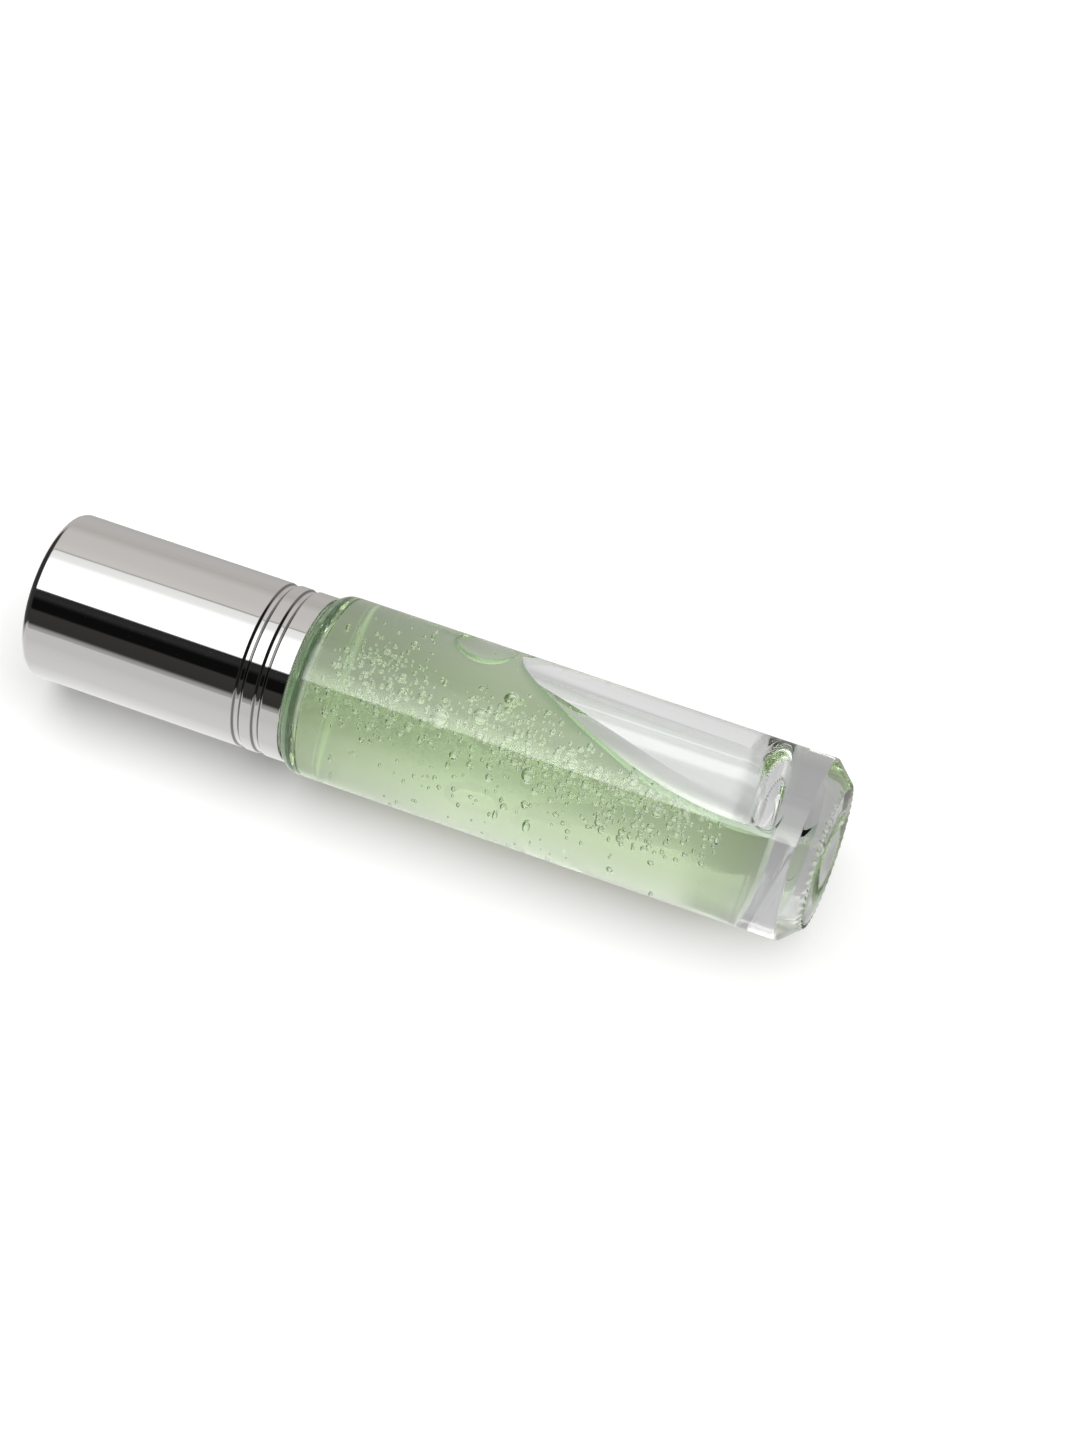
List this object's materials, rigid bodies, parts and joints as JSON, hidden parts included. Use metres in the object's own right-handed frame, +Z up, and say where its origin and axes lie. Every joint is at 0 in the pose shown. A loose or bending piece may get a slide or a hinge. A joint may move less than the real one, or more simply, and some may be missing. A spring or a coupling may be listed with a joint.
{
  "type": "roll-on bottle",
  "caption": "Clear glass roll-on bottle of pale green gel, lying down, with a polished metal screw cap that unscrews and lifts off to bare a rolling steel ball.",
  "frame": {"origin": "on the surface that the bottle lies on, under the middle of its length", "axes": "+X along the bottle towards its base, so that the cap points along -X, and +Z up"},
  "size_m": [0.0888, 0.02, 0.02],
  "materials": {
    "clear_glass": "clear, polished",
    "green_gel": "clear pale green gel with small bubbles",
    "ball_steel": "polished steel",
    "housing_plastic": "natural, satin",
    "cap_metal": "mirror polished",
    "liner_plastic": "white, satin",
    "pad_foam": "soft white foam"
  },
  "bodies": {
    "bottle": {"glass_bottle": "clear_glass", "gel_fill": "green_gel", "ball_housing": "housing_plastic"},
    "ball": {"roller_ball": "ball_steel"},
    "seal": {"seal_pad": "pad_foam"},
    "cap": {"cap_shell": "cap_metal", "cap_liner": "liner_plastic"}
  },
  "joints": [
    {"name": "ball_roll", "type": "hinge", "parent": "bottle", "child": "ball", "pos_m": [-0.0265, 0, 0.01], "axis": [0, 1, 0], "continuous": true},
    {"name": "cap_lift", "type": "slide", "parent": "bottle", "child": "seal", "axis": [-1, 0, 0], "range_m": [0, 0.021]},
    {"name": "cap_turn", "type": "hinge", "parent": "seal", "child": "cap", "pos_m": [0, 0, 0.01], "axis": [-1, 0, 0], "range_deg": [0, 2520]}
  ],
  "couplings": [
    {"joint": "cap_lift", "follows": "cap_turn", "m_per_rad": 0.00047746}
  ]
}
